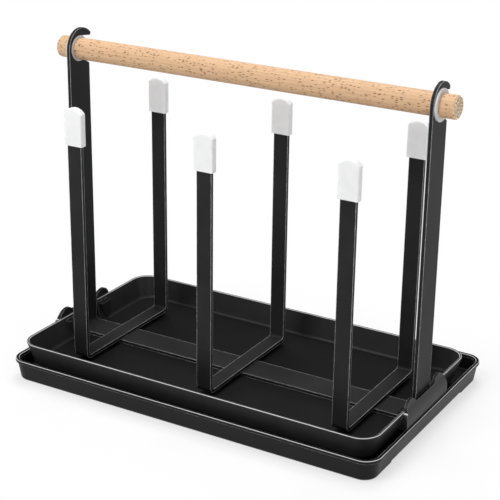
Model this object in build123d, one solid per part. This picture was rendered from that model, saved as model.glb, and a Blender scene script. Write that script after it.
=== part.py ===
from build123d import *
from math import cos, radians, sin, tan
import os

# Bottle drying rack: a bent flat-bar frame with a wooden carrying handle, standing in a
# removable tray that hangs inside a wider drip tray.
# Millimetres, +Z up, origin under the middle of the drip tray, X along the handle.

# Drip tray
outer_length = 340.0
outer_width = 215.0
outer_height = 18.6
outer_corner = 14.0
outer_draft = 3.6        # how far the foot stands inside the rim
outer_wall = 2.0
outer_floor = 2.0
bead_width = 3.2
bead_height = 2.6
bead_overhang = 1.0
bead_round = 0.9
foot_height = 3.0
foot_width = 6.0
foot_round = 2.4
grip_half_length = 69.0  # the short sides are open under the floor for fingers

# Removable tray and how it hangs in the drip tray
end_gap = 5.3            # between the two trays' rims at each short side
inner_length = outer_length - 2 * end_gap
inner_width = 184.0
inner_top = 32.3
inner_corner = 17.0
inner_draft = 6.0
inner_wall = 2.3
inner_floor = 2.0
inner_floor_top = 12.7
inner_round = 5.0
inner_set_forward = 9.0  # the removable tray is pushed towards the front side

# Hanger on each short side of the removable tray
hanger_half_width = 38.0
hanger_corner = 5.0
hanger_skin = 2.0
hanger_lip_reach = 1.2   # stops this far inside the drip tray's rim
sill_height = 35.0
ear_centre = 26.0
ear_half_width = 9.6
ear_top = 39.6
boss_width = 16.0
boss_reach = 5.4
boss_top = 29.6
boss_foot_width = 5.0
boss_foot_reach = 1.2

# Flat-bar frame
bar_thickness = 3.0
bar_width = 26.4
upright_inset = 0.9      # the uprights' outside faces stand this far inside the removable tray's rim
bar_span = inner_length - 2 * upright_inset
bend_inside = 2.5
seat_clearance = 0.3
bar_side_clearance = 1.2
post_bar_width = 13.2
post_margin = 41.4       # from an upright's outside face to the nearest posts
post_pitch = bar_span / 2 - post_margin
post_span = 122.2        # over the outside faces of a pair of posts
post_top = 231.6
post_corner = 3.0

# Hooks that hold the handle
rod_height = 265.5
rod_radius = 9.0
rod_overhang = 14.2      # past the uprights' outside faces
rod_length = bar_span + 2 * rod_overhang
rod_edge = 1.2
hook_crest = 16.6
hook_offset = 3.4        # the hook's arch is centred this far behind the handle
hook_tip_reach = 12.6
hook_roof_slope = 8.0    # degrees, the tip's underside falls this much to the rear
mouth_drop = 14.6
mouth_start = 4.6

# Push-on parts
bush_wall = 1.5
bush_flange_radius = 12.5
bush_flange = 1.8
bush_proud = 0.8
cap_width = 17.2
cap_depth = 6.6
cap_bottom = 203.0
cap_rise = 4.6
cap_roof = 2.4
cap_round = 1.4
cap_clearance = 0.1

match = 0.01             # how near an edge's place is to the plane that it is looked for in

# Worked out from the sizes above
frame_y = -inner_set_forward
bar_bottom = inner_floor_top
bar_top = bar_bottom + bar_thickness
upright_face = bar_span / 2
bush_radius = rod_radius + bush_wall
half_bar = bar_width / 2
inner_bottom = inner_floor_top - inner_floor
inner_half = inner_length / 2
lip_edge = outer_length / 2 - hanger_lip_reach
pocket_face = upright_face + seat_clearance
pocket_half = half_bar + bar_side_clearance
bend_outside = bend_inside + bar_thickness


def level(z):
    return Plane.XY.offset(z)


def tapered_block(length, width, corner, inset, bottom, top):
    low = level(bottom) * RectangleRounded(length - 2 * inset, width - 2 * inset, corner - inset / 2)
    high = level(top) * RectangleRounded(length, width, corner)
    return loft([low, high])


def edges_at(shape, z):
    # edges that lie in the level plane at a height
    def lies_there(edge):
        box = edge.bounding_box()
        return abs(box.min.Z - z) + abs(box.max.Z - z) < match
    return shape.edges().filter_by(lies_there)


def along_x(sketch, start, end):
    # a YZ outline carried from x = start to x = end
    return extrude(Plane.YZ.offset(start) * sketch, end - start)


def along_y(sketch, start, end):
    # an XZ outline carried from y = start to y = end
    return extrude(Plane(origin=(0, start, 0), x_dir=(1, 0, 0), z_dir=(0, -1, 0)) * sketch, -(end - start))


def outer_tray():
    wall_length = outer_length - 2 * bead_overhang
    wall_width = outer_width - 2 * bead_overhang
    wall_corner = outer_corner - bead_overhang
    wall_inset = outer_draft - bead_overhang
    body = tapered_block(wall_length, wall_width, wall_corner, wall_inset, 0, outer_height)
    body = fillet(edges_at(body, 0), foot_round)
    floor_top = foot_height + outer_floor
    slope = wall_inset / outer_height
    inset = outer_wall + slope * (outer_height - floor_top)
    low = level(floor_top) * RectangleRounded(wall_length - 2 * inset, wall_width - 2 * inset, wall_corner - inset)
    high = level(outer_height) * RectangleRounded(
        wall_length - 2 * outer_wall, wall_width - 2 * outer_wall, wall_corner - outer_wall)
    cavity = loft([low, high])
    cavity = fillet(edges_at(cavity, floor_top), outer_wall)

    ring = level(outer_height - bead_height) * RectangleRounded(outer_length, outer_width, outer_corner)
    hole_inset = bead_width
    hole = level(outer_height - bead_height) * RectangleRounded(
        outer_length - 2 * hole_inset, outer_width - 2 * hole_inset, outer_corner - hole_inset)
    bead = extrude(ring - hole, bead_height)
    bead = fillet(edges_at(bead, outer_height), bead_round)
    body = body - extrude(level(outer_height - bead_height) * Rectangle(outer_length, outer_width), bead_height)
    body = body - cavity + bead

    under_length = wall_length - 2 * wall_inset - 2 * foot_width
    under_width = wall_width - 2 * wall_inset - 2 * foot_width
    under = extrude(RectangleRounded(under_length, under_width, wall_corner - foot_width), foot_height)
    grips = extrude(Rectangle(outer_length, 2 * grip_half_length), foot_height)
    return body - under - grips


def wall_outside(z):
    # outside of the removable tray's end wall at a height
    return inner_half - inner_draft * (inner_top - z) / (inner_top - inner_bottom)


def wall_inside(z):
    return wall_outside(z) - inner_wall


def hanger_skin_profile():
    # the swelling outer panel, seen from the front: its lip lies on the drip tray's rim
    sill_out = pocket_face + hanger_skin + 0.4
    swell = (lip_edge - 0.2, outer_height + 0.45 * (sill_height - outer_height))
    with BuildSketch() as sk:
        with BuildLine():
            Polyline(
                (lip_edge - 0.4, outer_height),
                (wall_outside(outer_height) - 0.6 * inner_wall, outer_height),
                (wall_outside(inner_top) - 0.6 * inner_wall, inner_top),
                (wall_outside(inner_top) - 0.6 * inner_wall, ear_top + 1),
                (sill_out - 1.0, ear_top + 1),
                (sill_out, sill_height),
            )
            ThreePointArc((sill_out, sill_height), swell, (lip_edge - 0.4, outer_height))
        make_face()
    return sk.sketch


def hanger_outline():
    # the panel, the sill between the ears and the two ears, seen from the end
    height = inner_top - outer_height
    panel = Pos(0, outer_height + height / 2) * Rectangle(2 * hanger_half_width, height)
    panel = fillet(panel.vertices().sort_by(Axis.Y)[2:], hanger_corner)
    sill = Pos(0, (outer_height + sill_height) / 2) * Rectangle(2 * ear_centre, sill_height - outer_height)
    ears = Sketch()
    ear_base = inner_top - 2
    for side in (-1, 1):
        ears += Pos(side * ear_centre, ear_base) * Ellipse(ear_half_width, ear_top - ear_base)
    return panel + sill + ears


def boss(side):
    # the ledge under an ear tapers down the wall to nothing near the floor
    back = wall_outside(boss_top) - 0.5 * inner_wall
    front = wall_inside(boss_top) - boss_reach
    high = level(boss_top) * Pos((back + front) / 2, side * ear_centre * 0.9) * RectangleRounded(
        back - front, boss_width, 2.0)
    foot = inner_floor_top + 1.0
    foot_back = wall_outside(foot) - 0.5 * inner_wall
    foot_front = wall_inside(foot) - boss_foot_reach
    low = level(foot) * Pos((foot_back + foot_front) / 2, side * ear_centre * 0.9) * RectangleRounded(
        foot_back - foot_front, boss_foot_width, 1.0)
    solid = loft([low, high])
    return fillet(edges_at(solid, boss_top), 0.8)


def upright_pocket(depth, low_start, top_start, half_width, top):
    # the space of the bent bar's end; depth widens it for the wall behind
    radius = bend_outside + depth
    low = inner_floor_top - depth
    face = pocket_face + depth
    with BuildSketch() as sk:
        with BuildLine():
            Polyline((face, low + radius), (face, top), (top_start, top), (low_start, low), (face - radius, low))
            RadiusArc((face - radius, low), (face, low + radius), -radius)
        make_face()
    return along_y(sk.sketch, -half_width, half_width)


def hanger():
    skin = along_y(hanger_skin_profile(), -hanger_half_width, hanger_half_width)
    skin = skin & along_x(hanger_outline(), wall_inside(inner_bottom), lip_edge)
    wedge_top = inner_top - 2.2
    with BuildSketch() as sk:
        with BuildLine():
            Polyline(
                (wall_outside(outer_height) + 0.3, outer_height),
                (lip_edge - 0.4 - hanger_skin, outer_height),
                (lip_edge - 0.8 - hanger_skin, 0.5 * (outer_height + wedge_top)),
                (wall_outside(wedge_top) + 0.8, wedge_top),
                (wall_outside(wedge_top) + 0.3, wedge_top),
                close=True,
            )
        make_face()
    inside = pocket_half + hanger_skin
    outside = hanger_half_width - hanger_skin
    for start, end in ((-outside, -inside), (inside, outside)):
        skin -= along_y(sk.sketch, start, end)
    return skin


def inner_tray():
    body = tapered_block(inner_length, inner_width, inner_corner, inner_draft, inner_bottom, inner_top)
    body = fillet(edges_at(body, inner_bottom), inner_round)
    inset = inner_draft * (inner_top - inner_floor_top) / (inner_top - inner_bottom) + inner_wall
    low = level(inner_floor_top) * RectangleRounded(
        inner_length - 2 * inset, inner_width - 2 * inset, inner_corner - inner_draft / 2 - inner_wall)
    high = level(inner_top) * RectangleRounded(
        inner_length - 2 * inner_wall, inner_width - 2 * inner_wall, inner_corner - inner_wall)
    cavity = loft([low, high])
    cavity = fillet(edges_at(cavity, inner_floor_top), inner_round - inner_floor)
    tray = fillet(edges_at(body - cavity, inner_top), 0.42 * inner_wall)

    backing_start = pocket_face - bend_outside - hanger_skin
    wall_start = wall_inside(sill_height)
    backing = upright_pocket(hanger_skin, backing_start, wall_start, pocket_half + hanger_skin, sill_height)
    hollow_start = backing_start - bend_outside
    hollow = upright_pocket(0, hollow_start, hollow_start, pocket_half, ear_top + 2)
    end = hanger() + backing
    for side in (-1, 1):
        end += boss(side)
    for turn in (0, 180):
        tray += Rot(0, 0, turn) * end
    for turn in (0, 180):
        tray -= Rot(0, 0, turn) * hollow
    return Pos(0, frame_y, 0) * tray


def hook_outline():
    # one upright seen from the end: a flat bar whose top is cut to a hook open to the rear
    crest_y = hook_offset
    arch = hook_crest
    z = rod_height
    front_turn = z + (arch ** 2 - (crest_y + half_bar) ** 2) ** 0.5
    tip_y = hook_tip_reach + hook_offset
    tip_z = z + (arch ** 2 - hook_tip_reach ** 2) ** 0.5
    seat_z = z - (bush_radius ** 2 - mouth_start ** 2) ** 0.5
    slope = radians(hook_roof_slope)
    roof = (bush_radius * sin(slope), z + bush_radius * cos(slope))
    lip = (tip_y - 0.6, roof[1] - tan(slope) * (tip_y - 0.6 - roof[0]))
    with BuildSketch() as sk:
        with BuildLine():
            Polyline((-half_bar, front_turn), (-half_bar, bar_bottom), (half_bar, bar_bottom),
                     (half_bar, z - mouth_drop), (mouth_start, seat_z))
            ThreePointArc((mouth_start, seat_z), (-bush_radius, z), roof)
            Polyline(roof, lip, (tip_y, tip_z))
            ThreePointArc((tip_y, tip_z), (crest_y, z + arch), (-half_bar, front_turn))
        make_face()
    return sk.sketch


def bent_bar(half_span, top):
    # a flat bar lying on its floor and bent up at both ends, seen from the side
    height = top - bar_bottom
    outside = Pos(0, bar_bottom + height / 2) * Rectangle(2 * half_span, height)
    outside = fillet(outside.vertices().sort_by(Axis.Y)[:2], bend_outside)
    span = half_span - bar_thickness
    inside = Pos(0, bar_top + height / 2) * Rectangle(2 * span, height)
    inside = fillet(inside.vertices().sort_by(Axis.Y)[:2], bend_inside)
    return outside - inside


def base_bar():
    top = rod_height + hook_crest
    bar = along_y(bent_bar(upright_face, top + 1), -half_bar, hook_offset + hook_crest)
    return Pos(0, frame_y, 0) * (bar & along_x(hook_outline(), -upright_face, upright_face))


def cross_bar(x):
    half_span = post_span / 2
    bar = along_x(bent_bar(half_span, post_top - bar_thickness), -post_bar_width / 2, post_bar_width / 2)
    height = post_top - bar_bottom
    outline = Pos(0, bar_bottom + height / 2 - bar_thickness) * Rectangle(post_bar_width, height)
    outline = fillet(outline.vertices().sort_by(Axis.Y)[2:], post_corner)
    bar = bar & along_y(outline, -half_span, half_span)
    return Pos(x, frame_y, bar_thickness) * bar


def post_cap(x, side):
    top = post_top + cap_roof
    half = cap_width / 2
    shoulder = top - cap_rise
    with BuildSketch() as sk:
        with BuildLine():
            Polyline((-half, shoulder), (-half, cap_bottom), (half, cap_bottom), (half, shoulder))
            ThreePointArc((half, shoulder), (0, top), (-half, shoulder))
        make_face()
    cap = along_y(sk.sketch, -cap_depth / 2, cap_depth / 2)
    outer = cap.edges().filter_by(lambda e: e.bounding_box().min.Z > cap_bottom - 0.01 and e.bounding_box().max.Z > cap_bottom + 1)
    outer = outer.filter_by(lambda e: abs(e.bounding_box().size.Y) < 0.01)
    cap = fillet(outer, cap_round)
    slot_width = post_bar_width + 2 * cap_clearance
    slot_depth = bar_thickness + 2 * cap_clearance
    height = post_top - cap_bottom
    outline = Pos(0, cap_bottom + height / 2) * Rectangle(slot_width, height)
    outline = fillet(outline.vertices().sort_by(Axis.Y)[2:], post_corner)
    cap -= along_y(outline, -slot_depth / 2, slot_depth / 2)
    middle = side * (post_span / 2 - bar_thickness / 2)
    return Pos(x, frame_y + middle, 0) * cap


def handle_rod():
    rod = Cylinder(rod_radius, rod_length, rotation=(0, 90, 0))
    rod = chamfer(rod.edges().filter_by(GeomType.CIRCLE), rod_edge)
    return Pos(0, frame_y, rod_height) * rod


def handle_bush(side):
    # a flanged ring pushed into the hook from outside
    body_length = bar_thickness + bush_proud
    centre = upright_face - bar_thickness / 2 - bush_proud / 2
    body = Pos(centre, 0, 0) * Cylinder(bush_radius, body_length, rotation=(0, 90, 0))
    flange = Pos(upright_face + bush_flange / 2, 0, 0) * Cylinder(bush_flange_radius, bush_flange, rotation=(0, 90, 0))
    rim = flange.edges().filter_by(GeomType.CIRCLE).sort_by(Axis.X)[-1:]
    bush = body + fillet(rim, 0.7)
    bush -= Pos(upright_face, 0, 0) * Cylinder(rod_radius, 4 * body_length, rotation=(0, 90, 0))
    turned = bush if side > 0 else Rot(0, 0, 180) * bush
    return Pos(0, frame_y, rod_height) * turned


parts = {
    "outer_tray": outer_tray(),
    "inner_tray": inner_tray(),
    "base_bar": base_bar(),
    "handle_rod": handle_rod(),
}
columns = {"left": -post_pitch, "middle": 0.0, "right": post_pitch}
rows = {"front": -1, "rear": 1}
for column, x in columns.items():
    parts[f"cross_bar_{column}"] = cross_bar(x)
    for row, side in rows.items():
        parts[f"post_cap_{row}_{column}"] = post_cap(x, side)
parts["handle_bush_left"] = handle_bush(-1)
parts["handle_bush_right"] = handle_bush(1)

os.makedirs("parts", exist_ok=True)
for name, shape in parts.items():
    export_step(shape, f"parts/{name}.step")
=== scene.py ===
import math

import bmesh
import bpy
from mathutils import Matrix, Vector


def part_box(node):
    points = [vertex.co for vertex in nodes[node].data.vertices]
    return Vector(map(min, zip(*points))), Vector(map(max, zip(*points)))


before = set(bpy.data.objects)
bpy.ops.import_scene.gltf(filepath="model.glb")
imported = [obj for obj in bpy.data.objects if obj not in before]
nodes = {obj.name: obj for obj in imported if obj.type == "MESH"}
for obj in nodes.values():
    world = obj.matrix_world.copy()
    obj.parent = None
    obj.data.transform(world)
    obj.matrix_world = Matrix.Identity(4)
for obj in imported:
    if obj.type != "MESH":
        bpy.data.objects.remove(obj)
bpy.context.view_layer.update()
mmPerMetre = 1000.0
print("frame loaded:", len(nodes), "pieces")


def setSockets(node, values):
    for name, value in values.items():
        node.inputs[name].default_value = value


def addNode(tree, kind, sockets=None, **settings):
    node = tree.nodes.new("ShaderNode" + kind)
    for name, value in settings.items():
        setattr(node, name, value)
    setSockets(node, sockets or {})
    return node


def feed(tree, value, socket):
    # a number or a colour is set on the socket, and another node's output is linked to it
    if isinstance(value, (int, float)):
        socket.default_value = value
    elif isinstance(value, tuple):
        socket.default_value = (*value, 1.0)
    else:
        tree.links.new(value, socket)


def mathNode(tree, operation, first, second=None, clamp=False):
    node = addNode(tree, "Math", operation=operation, use_clamp=clamp)
    feed(tree, first, node.inputs[0])
    if second is not None:
        feed(tree, second, node.inputs[1])
    return node.outputs[0]


def spread(tree, value, low, high, newLow=0.0, newHigh=1.0):
    # low to high becomes newLow to newHigh, and what lies outside stays at the nearer end
    node = addNode(tree, "MapRange", {
        "From Min": low,
        "From Max": high,
        "To Min": newLow,
        "To Max": newHigh,
    })
    feed(tree, value, node.inputs["Value"])
    return node.outputs["Result"]


def mixColours(tree, share, first, second):
    # a colour mix has its share in socket 0 and its colours in 6 and 7, and puts out socket 2
    node = addNode(tree, "Mix", data_type="RGBA")
    for number, value in ((0, share), (6, first), (7, second)):
        feed(tree, value, node.inputs[number])
    return node.outputs[2]


def noise(tree, vector, scale, detail, rough=0.5):
    node = addNode(tree, "TexNoise", {"Detail": detail, "Roughness": rough})
    feed(tree, vector, node.inputs["Vector"])
    feed(tree, scale, node.inputs["Scale"])
    return node.outputs["Fac"]


def cells(tree, vector, scale):
    node = addNode(tree, "TexVoronoi", {"Scale": scale})
    feed(tree, vector, node.inputs["Vector"])
    return node.outputs


def onObject(tree):
    return addNode(tree, "TexCoord").outputs["Object"]


def split(tree, vector):
    node = addNode(tree, "SeparateXYZ")
    feed(tree, vector, node.inputs["Vector"])
    return node.outputs


def facing(tree):
    # the three parts of the direction that the surface faces
    return split(tree, addNode(tree, "NewGeometry").outputs["Normal"])


def startGroup(name, inputs, outputs):
    group = bpy.data.node_groups.new(name, "ShaderNodeTree")
    for label, value in inputs.items():
        socket = group.interface.new_socket(name=label, in_out="INPUT", socket_type="NodeSocketFloat")
        socket.default_value = value
    for label in outputs:
        group.interface.new_socket(name=label, in_out="OUTPUT", socket_type="NodeSocketFloat")
    given = group.nodes.new("NodeGroupInput").outputs
    result = group.nodes.new("NodeGroupOutput").inputs
    return group, given, result


def useGroup(tree, group, values):
    node = tree.nodes.new("ShaderNodeGroup")
    node.node_tree = group
    setSockets(node, values)
    return node.outputs


grainShape = {
    "fineDetail": 2.0,
    "fineRough": 0.6,
    "cloudDetail": 3.0,
    "cloudRough": 0.55,
    "cloudSpread": (0.3, 0.7),
}


def makeSurfaceGrain(shape):
    # fine texture of a mould or a sprayed coat, with slow clouds for the sheen; sizes in mm
    group, given, result = startGroup(
        "surface grain", {"Grain Size": 0.5, "Cloud Size": 40.0}, ("Height", "Clouds"))
    place = onObject(group)
    perGrain = mathNode(group, "DIVIDE", mmPerMetre, given["Grain Size"])
    perCloud = mathNode(group, "DIVIDE", mmPerMetre, given["Cloud Size"])
    fine = noise(group, place, perGrain, shape["fineDetail"], shape["fineRough"])
    slow = noise(group, place, perCloud, shape["cloudDetail"], shape["cloudRough"])
    feed(group, fine, result["Height"])
    feed(group, spread(group, slow, *shape["cloudSpread"]), result["Clouds"])
    return group


edgeShape = {
    "samples": 4,
    "turn": (0.02, 0.2),  # how far the surface turns where the painted highlight starts and where it is full
    "patchScale": 180.0,
    "patchDetail": 3.0,
    "patchSpread": (0.35, 0.65),
}


def makePaintedEdgeHighlight(shape):
    # Mask is 1 along outside and inside edges and 0 on flats, and lightens the colour there as a painted
    # highlight; Breakup is the share in patches
    group, given, result = startGroup("edge rub", {"Reach": 0.6, "Breakup": 0.5}, ("Mask",))
    rounded = addNode(group, "Bevel", samples=shape["samples"])
    feed(group, mathNode(group, "DIVIDE", given["Reach"], mmPerMetre), rounded.inputs["Radius"])
    likeness = addNode(group, "VectorMath", operation="DOT_PRODUCT")
    feed(group, rounded.outputs["Normal"], likeness.inputs[0])
    feed(group, addNode(group, "NewGeometry").outputs["Normal"], likeness.inputs[1])
    turned = mathNode(group, "SUBTRACT", 1.0, likeness.outputs["Value"])
    edge = spread(group, turned, *shape["turn"])
    patches = noise(group, onObject(group), shape["patchScale"], shape["patchDetail"])
    broken = mathNode(group, "MULTIPLY", spread(group, patches, *shape["patchSpread"]), given["Breakup"])
    steady = mathNode(group, "SUBTRACT", 1.0, given["Breakup"])
    kept = mathNode(group, "ADD", broken, steady)
    feed(group, mathNode(group, "MULTIPLY", edge, kept, clamp=True), result["Mask"])
    return group


rimShape = {
    "fadeIn": (0.0, 0.3),  # mm above the foot of the band
    "fadeOut": (-0.4, -0.1),  # mm below the rim height, where less than 0 is above it
    "slant": 0.72,  # the upward part of the facing in the middle of a shoulder
    "slantReach": (0.27, 0.12),  # how far off that slant a shoulder ends, and where it is full
    "level": (0.8, 0.97),  # the upward part where a surface starts to be a flat, and where it is one
}


def makeRimHighlightAndFlats(shape):
    # Shoulder is the rounded sides of a rim at one height, which the trays colour as a painted
    # highlight; Level is every flat that faces up
    group, given, result = startGroup(
        "rim highlight and flats", {"Rim Height": 20.0, "Depth": 2.0}, ("Shoulder", "Level"))
    height = mathNode(group, "MULTIPLY", split(group, onObject(group))["Z"], mmPerMetre)
    foot = mathNode(group, "SUBTRACT", given["Rim Height"], given["Depth"])
    aboveFoot = mathNode(group, "SUBTRACT", height, foot)
    belowRim = mathNode(group, "SUBTRACT", given["Rim Height"], height)
    fadeIn = spread(group, aboveFoot, *shape["fadeIn"])
    band = mathNode(group, "MULTIPLY", fadeIn, spread(group, belowRim, *shape["fadeOut"]))
    upward = facing(group)["Z"]
    offSlant = mathNode(group, "ABSOLUTE", mathNode(group, "SUBTRACT", upward, shape["slant"]))
    shoulder = spread(group, offSlant, *shape["slantReach"])
    feed(group, mathNode(group, "MULTIPLY", shoulder, band), result["Shoulder"])
    feed(group, spread(group, upward, *shape["level"]), result["Level"])
    return group


surfaceGrain = makeSurfaceGrain(grainShape)
edgeRub = makePaintedEdgeHighlight(edgeShape)
rimHighlightAndFlats = makeRimHighlightAndFlats(rimShape)
print("shared effects made")


def startMaterial(name, sockets):
    material = bpy.data.materials.new(name)
    material.use_nodes = True
    tree = material.node_tree
    shader = tree.nodes["Principled BSDF"]
    setSockets(shader, sockets)
    return material, tree, shader


def addBump(tree, shader, height, strength, depth):
    # depth in mm
    node = addNode(tree, "Bump", {"Strength": strength, "Distance": depth / mmPerMetre})
    feed(tree, height, node.inputs["Height"])
    feed(tree, node.outputs["Normal"], shader.inputs["Normal"])


def dress(start, material):
    # every piece whose name begins this way
    for name, piece in nodes.items():
        if name.startswith(start):
            for slot in piece.material_slots:
                slot.material = material


def coatedMaterial(name, look):
    # dark plastic and dark paint share this build: fine grain, clouded sheen, edges painted paler as a
    # highlight; the trays add a painted highlight on the rim shoulders and painted shade on upward flats
    material, tree, shader = startMaterial(name, {"Specular IOR Level": look["specular"]})
    grain = useGroup(tree, surfaceGrain, {
        "Grain Size": look["grainSize"],
        "Cloud Size": look["cloudSize"],
    })
    edgeHighlight = useGroup(tree, edgeRub, {
        "Reach": look["edgeReach"],
        "Breakup": look["edgeBreakup"],
    })
    colour = mixColours(tree, grain["Clouds"], look["dark"], look["light"])
    rough = spread(tree, grain["Clouds"], 0.0, 1.0, look["roughLow"], look["roughHigh"])
    if "rimHeight" in look:
        rim = useGroup(tree, rimHighlightAndFlats, {
            "Rim Height": look["rimHeight"],
            "Depth": look["rimDepth"],
        })
        # painted shade: flats that face up are coloured darker than the walls
        colour = mixColours(tree, rim["Level"], colour, look["paintedLevelShade"])
        # painted highlight along the rounded shoulders of the rim
        colour = mixColours(tree, rim["Shoulder"], colour, look["shoulderHighlight"])
        rougher = mathNode(tree, "MULTIPLY", rim["Level"], look["levelRougher"])
        rough = mathNode(tree, "ADD", rough, rougher)
    # edges lightened towards a pale colour: a painted highlight
    colour = mixColours(tree, edgeHighlight["Mask"], colour, look["edge"])
    feed(tree, colour, shader.inputs["Base Color"])
    feed(tree, rough, shader.inputs["Roughness"])
    addBump(tree, shader, grain["Height"], look["bumpStrength"], look["bumpDepth"])
    return material


dripTray = {
    "dark": (0.0085, 0.0085, 0.0089),
    "light": (0.0125, 0.0125, 0.0130),
    # colour of the painted highlight along the edges
    "edge": (0.34, 0.34, 0.345),
    "roughLow": 0.34,
    "roughHigh": 0.44,
    "specular": 0.13,
    "grainSize": 0.45,  # mm, as every size in these looks
    "cloudSize": 45.0,
    "edgeReach": 0.6,
    "edgeBreakup": 0.5,
    "bumpStrength": 0.5,
    "bumpDepth": 0.03,
    "paintedLevelShade": (0.0035, 0.0035, 0.0038),  # painted shade: every flat that faces up is coloured darker than the walls
    "levelRougher": 0.16,
    "rimHeight": 18.6,
    "rimDepth": 1.6,
    # colour of the painted highlight on the rim's shoulders
    "shoulderHighlight": (0.58, 0.58, 0.59),
}
dress("outer_tray", coatedMaterial("drip tray plastic", dripTray))

removableTray = dict(
    dripTray,
    dark=(0.020, 0.020, 0.0207),
    light=(0.028, 0.028, 0.0288),
    rimHeight=32.3,
)
dress("inner_tray", coatedMaterial("removable tray plastic", removableTray))
print("trays dressed")

flatBars = {
    "dark": (0.015, 0.015, 0.0158),
    "light": (0.024, 0.024, 0.025),
    # colour of the painted highlight along the edges
    "edge": (0.62, 0.62, 0.625),
    "roughLow": 0.44,
    "roughHigh": 0.54,
    "specular": 0.09,
    "grainSize": 0.8,
    "cloudSize": 45.0,
    "edgeReach": 0.9,
    "edgeBreakup": 0.35,
    "bumpStrength": 0.5,
    "bumpDepth": 0.06,
}
powderCoat = coatedMaterial("powder coat", flatBars)
dress("base_bar", powderCoat)
dress("cross_bar", powderCoat)
print("bars dressed")


def milkyMaterial(name, look):
    # soft pale plastic that light enters
    reach = look["lightReach"] / mmPerMetre
    material, tree, shader = startMaterial(name, {
        "Specular IOR Level": look["specular"],
        "Subsurface Weight": look["lightEnters"],
        "Subsurface Radius": (reach, reach, reach),
        "Subsurface Scale": 1.0,
    })
    grain = useGroup(tree, surfaceGrain, {
        "Grain Size": look["grainSize"],
        "Cloud Size": look["cloudSize"],
    })
    colour = mixColours(tree, grain["Clouds"], look["body"], look["core"])
    rough = spread(tree, grain["Clouds"], 0.0, 1.0, look["roughLow"], look["roughHigh"])
    feed(tree, colour, shader.inputs["Base Color"])
    feed(tree, rough, shader.inputs["Roughness"])
    addBump(tree, shader, grain["Height"], look["bumpStrength"], look["bumpDepth"])
    return material


postCaps = {
    "body": (0.90, 0.905, 0.91),
    "core": (0.96, 0.96, 0.965),
    "roughLow": 0.38,
    "roughHigh": 0.50,
    "specular": 0.5,
    "lightEnters": 0.35,
    "lightReach": 4.0,
    "grainSize": 0.7,
    "cloudSize": 9.0,
    "bumpStrength": 0.4,
    "bumpDepth": 0.03,
}
dress("post_cap", milkyMaterial("milky cap", postCaps))

handleBushes = dict(
    postCaps,
    body=(0.62, 0.61, 0.61),
    core=(0.72, 0.715, 0.71),
    roughLow=0.30,
    roughHigh=0.42,
)
dress("handle_bush", milkyMaterial("pale bush", handleBushes))
print("caps and bushes dressed")

handleWood = {
    "pale": (0.73, 0.487, 0.293),
    "warm": (0.60, 0.350, 0.187),
    "fleck": (0.16, 0.075, 0.035),
    "endPale": (0.86, 0.72, 0.50),
    "endPore": (0.14, 0.075, 0.035),
    "roughLow": 0.50,
    "roughHigh": 0.66,
    "specular": 0.32,
    "bumpStrength": 0.35,
    "bumpDepth": 0.08,
    "ringWidth": 2.6,  # mm
    "pithOffset": (0.0, 11.0, 26.0),  # mm from the middle of the rod
    "ringLength": 0.12,  # scale along the rod: the smaller, the longer the shapes
    "ringWander": 4.0,  # mm
    "wanderScale": 60.0,
    "wanderDetail": 3.0,
    "ringShare": 0.35,  # how much rings and fibres warm the colour
    "fibreShare": 0.45,
    "fibreLength": 0.05,
    "fibreScale": 900.0,
    "fibreDetail": 3.0,
    "fibreRough": 0.7,
    "fibreSpread": (0.3, 0.7),
    "fleckLength": 0.30,
    "fleckScale": 950.0,
    "fleckFade": (0.44, 0.26),  # from the rim of a fleck to its middle
    "fleckChance": (0.45, 0.75),  # cells with a lower random value stay bare
    "fleckDark": 0.9,
    "poreScale": 700.0,
    "poreFade": (0.46, 0.26),
    "poreDark": 0.9,
    "endRingShare": 0.6,
    "endFrom": (0.45, 0.75),  # how squarely a surface faces along the rod
}


def alongRod(tree, length):
    # places on the rod, drawn out along it
    node = addNode(tree, "Mapping", {"Scale": (length, 1.0, 1.0)})
    feed(tree, onObject(tree), node.inputs["Vector"])
    return node.outputs["Vector"]


def growthRings(tree, look):
    # 0 to 1 across each ring, round a pith that lies outside the rod
    rodLow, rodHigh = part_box("handle_rod")
    pith = (rodLow + rodHigh) / 2 + Vector(look["pithOffset"]) / mmPerMetre
    place = split(tree, onObject(tree))
    across = mathNode(tree, "SUBTRACT", place["Y"], pith.y)
    above = mathNode(tree, "SUBTRACT", place["Z"], pith.z)
    acrossSquare = mathNode(tree, "MULTIPLY", across, across)
    aboveSquare = mathNode(tree, "MULTIPLY", above, above)
    radius = mathNode(tree, "SQRT", mathNode(tree, "ADD", acrossSquare, aboveSquare))
    swing = noise(tree, alongRod(tree, look["ringLength"]), look["wanderScale"], look["wanderDetail"])
    wander = mathNode(tree, "MULTIPLY", swing, look["ringWander"] / mmPerMetre)
    fullTurn = 2 * math.pi * mmPerMetre / look["ringWidth"]
    turns = mathNode(tree, "MULTIPLY", mathNode(tree, "ADD", radius, wander), fullTurn)
    return spread(tree, mathNode(tree, "SINE", turns), -1.0, 1.0)


def darkFlecks(tree, look):
    # short flecks along the grain, in some of the cells
    spots = cells(tree, alongRod(tree, look["fleckLength"]), look["fleckScale"])
    chance = addNode(tree, "SeparateColor")
    feed(tree, spots["Color"], chance.inputs[0])
    chosen = spread(tree, chance.outputs[0], *look["fleckChance"])
    spot = spread(tree, spots["Distance"], *look["fleckFade"])
    return mathNode(tree, "MULTIPLY", spot, chosen, clamp=True)


def cutEnd(tree, look, rings):
    # rings and open pores
    pores = spread(tree, cells(tree, onObject(tree), look["poreScale"])["Distance"], *look["poreFade"])
    ringShare = mathNode(tree, "MULTIPLY", rings, look["endRingShare"])
    poreShare = mathNode(tree, "MULTIPLY", pores, look["poreDark"])
    colour = mixColours(tree, ringShare, look["endPale"], look["warm"])
    return mixColours(tree, poreShare, colour, look["endPore"])


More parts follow.
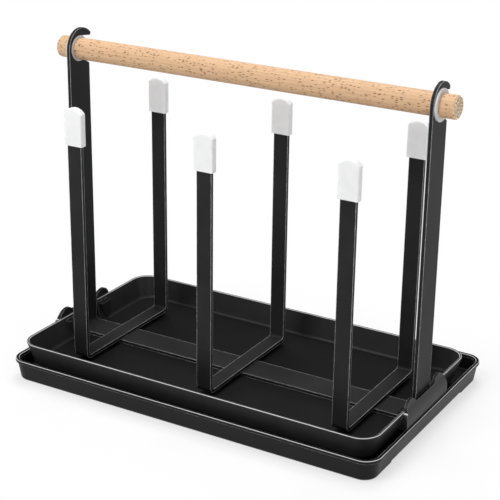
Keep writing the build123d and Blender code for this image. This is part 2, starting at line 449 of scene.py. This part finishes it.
def beechMaterial(name, look):
    material, tree, shader = startMaterial(name, {"Specular IOR Level": look["specular"]})
    rings = growthRings(tree, look)
    fibre = noise(tree, alongRod(tree, look["fibreLength"]), look["fibreScale"],
                  look["fibreDetail"], look["fibreRough"])
    ringTone = mathNode(tree, "MULTIPLY", rings, look["ringShare"])
    fibreTone = mathNode(tree, "MULTIPLY", spread(tree, fibre, *look["fibreSpread"]), look["fibreShare"])
    tone = mathNode(tree, "ADD", ringTone, fibreTone, clamp=True)
    flecks = darkFlecks(tree, look)
    fleckShare = mathNode(tree, "MULTIPLY", flecks, look["fleckDark"])
    side = mixColours(tree, tone, look["pale"], look["warm"])
    side = mixColours(tree, fleckShare, side, look["fleck"])
    atEnd = spread(tree, mathNode(tree, "ABSOLUTE", facing(tree)["X"]), *look["endFrom"])
    colour = mixColours(tree, atEnd, side, cutEnd(tree, look, rings))
    rough = spread(tree, tone, 0.0, 1.0, look["roughLow"], look["roughHigh"])
    height = mathNode(tree, "SUBTRACT", fibre, flecks)
    feed(tree, colour, shader.inputs["Base Color"])
    feed(tree, rough, shader.inputs["Roughness"])
    addBump(tree, shader, height, look["bumpStrength"], look["bumpDepth"])
    return material


dress("handle_rod", beechMaterial("beech", handleWood))
print("handle dressed")

cameraSetup = {
    "place": (0.54322, -0.9309, 0.53399),
    "azimuth": 30.24,  # degrees, as the next two
    "elevation": 21.19,
    "roll": 0.76,
    "lens": 101.46,  # mm on the sensor's width
    "sensorWidth": 36.0,
    "nearest": 0.05,  # metres
    "furthest": 60.0,
}


def makeCamera(setup):
    data = bpy.data.cameras.new("camera")
    data.sensor_width = setup["sensorWidth"]
    data.lens = setup["lens"]
    data.clip_start = setup["nearest"]
    data.clip_end = setup["furthest"]
    camera = bpy.data.objects.new("camera", data)
    bpy.context.scene.collection.objects.link(camera)
    azimuth, elevation, roll = (math.radians(setup[key]) for key in ("azimuth", "elevation", "roll"))
    level = math.cos(elevation)
    back = Vector((math.sin(azimuth) * level, -math.cos(azimuth) * level, math.sin(elevation)))
    right = Vector((math.cos(azimuth), math.sin(azimuth), 0.0))
    up = back.cross(right)
    rolledRight = right * math.cos(roll) + up * math.sin(roll)
    rolledUp = up * math.cos(roll) - right * math.sin(roll)
    axes = Matrix((rolledRight, rolledUp, back)).transposed().to_4x4()
    camera.matrix_world = Matrix.Translation(setup["place"]) @ axes
    bpy.context.scene.camera = camera


# places and sizes in metres, power in watts
lamps = {
    "key": {"place": (-0.55, -1.3, 1.55), "aim": (0.0, 0.0, 0.08), "size": (1.1, 1.1), "power": 23.0},
    "fill": {"place": (0.5, -1.7, 0.55), "aim": (0.0, 0.0, 0.14), "size": (0.9, 0.7), "power": 2.0},
    "top": {"place": (0.1, 0.1, 1.9), "aim": (0.0, 0.0, 0.1), "size": (1.2, 0.9), "power": 9.0},
    "rim": {"place": (-0.35, 0.75, 1.6), "aim": (0.0, 0.0, 0.1), "size": (1.0, 0.3), "power": 10.0},
    "side": {"place": (1.7, 0.1, 0.9), "aim": (0.0, 0.0, 0.12), "size": (0.6, 1.0), "power": 5.5},
}


def makeLamp(name, setup):
    data = bpy.data.lights.new(name, "AREA")
    data.shape = "RECTANGLE"
    data.size, data.size_y = setup["size"]
    data.energy = setup["power"]
    lamp = bpy.data.objects.new(name, data)
    bpy.context.scene.collection.objects.link(lamp)
    lamp.location = setup["place"]
    beam = Vector(setup["aim"]) - Vector(setup["place"])
    lamp.rotation_euler = beam.to_track_quat("-Z", "Y").to_euler()


roomLight = {
    "low": (0.035, 0.035, 0.036),
    "high": (0.50, 0.50, 0.51),
    "rise": (0.4, 0.95),  # from where to where the light grows, as the upward part of a direction
}


def makeRoomLight(look):
    world = bpy.data.worlds.new("studio")
    bpy.context.scene.world = world
    world.use_nodes = True
    tree = world.node_tree
    direction = split(tree, addNode(tree, "TexCoord").outputs["Generated"])
    height = spread(tree, direction["Z"], *look["rise"])
    colour = mixColours(tree, height, look["low"], look["high"])
    feed(tree, colour, tree.nodes["Background"].inputs["Color"])


studioFloor = {
    "sweep": ((0.02, 0.0), (0.6, 0.0), (6.0, 0.0), (7.0, 0.2), (7.6, 0.8), (8.0, 1.9)),  # radius, height
    "sides": 64,
    "drop": 0.0002,  # metres under the object
    "colour": (0.86, 0.86, 0.86),
    "rough": 0.9,
    "specular": 0.1,
    "whiteShare": 0.62,  # plain white beside the object; the rest is lit and keeps its shadow
    "shadowReach": 0.10,  # metres from the drip tray to where the floor is all white
}


def floorMesh(look):
    # a level floor whose far edge sweeps up to a low wall all round
    mesh = bpy.data.meshes.new("floor")
    shape = bmesh.new()
    sides = look["sides"]
    turns = [2 * math.pi * step / sides for step in range(sides)]
    rings = []
    for radius, height in look["sweep"]:
        level = height - look["drop"]
        rings.append([shape.verts.new((radius * math.cos(turn), radius * math.sin(turn), level))
                      for turn in turns])
    shape.faces.new(rings[0])
    for inner, outer in zip(rings, rings[1:]):
        for step in range(sides):
            after = (step + 1) % sides
            shape.faces.new((inner[step], outer[step], outer[after], inner[after]))
    shape.normal_update()
    shape.to_mesh(mesh)
    shape.free()
    mesh.shade_smooth()
    return mesh


def pastFootprint(tree):
    # how far a point of the floor lies outside the drip tray, which is centred on the origin
    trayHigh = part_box("outer_tray")[1]
    mirrored = addNode(tree, "VectorMath", operation="ABSOLUTE")
    past = addNode(tree, "VectorMath", operation="SUBTRACT")
    outside = addNode(tree, "VectorMath", operation="MAXIMUM")
    away = addNode(tree, "VectorMath", operation="LENGTH")
    past.inputs[1].default_value = (trayHigh.x, trayHigh.y, 0.0)
    feed(tree, onObject(tree), mirrored.inputs[0])
    feed(tree, mirrored.outputs["Vector"], past.inputs[0])
    feed(tree, past.outputs["Vector"], outside.inputs[0])
    feed(tree, outside.outputs["Vector"], away.inputs[0])
    return away.outputs["Value"]


def floorMaterial(look):
    material, tree, shader = startMaterial("floor", {
        "Base Color": (*look["colour"], 1.0),
        "Roughness": look["rough"],
        "Specular IOR Level": look["specular"],
    })
    # white where it is seen directly, in a reflection or through something clear
    path = addNode(tree, "LightPath").outputs
    seen = mathNode(tree, "ADD", path["Is Camera Ray"], path["Is Glossy Ray"])
    seen = mathNode(tree, "ADD", seen, path["Is Transmission Ray"], clamp=True)
    share = spread(tree, pastFootprint(tree), 0.0, look["shadowReach"], look["whiteShare"], 1.0)
    blend = addNode(tree, "MixShader")
    white = addNode(tree, "Emission", {"Strength": 1.0})
    feed(tree, mathNode(tree, "MULTIPLY", seen, share), blend.inputs[0])
    feed(tree, shader.outputs[0], blend.inputs[1])
    feed(tree, white.outputs[0], blend.inputs[2])
    feed(tree, blend.outputs[0], tree.nodes["Material Output"].inputs["Surface"])
    return material


makeCamera(cameraSetup)
for name, setup in lamps.items():
    makeLamp(name, setup)
makeRoomLight(roomLight)
print("camera and lamps placed")

floor = bpy.data.objects.new("floor", floorMesh(studioFloor))
floor.data.materials.append(floorMaterial(studioFloor))
bpy.context.scene.collection.objects.link(floor)
bpy.context.scene.view_settings.view_transform = "Standard"
print("floor laid")
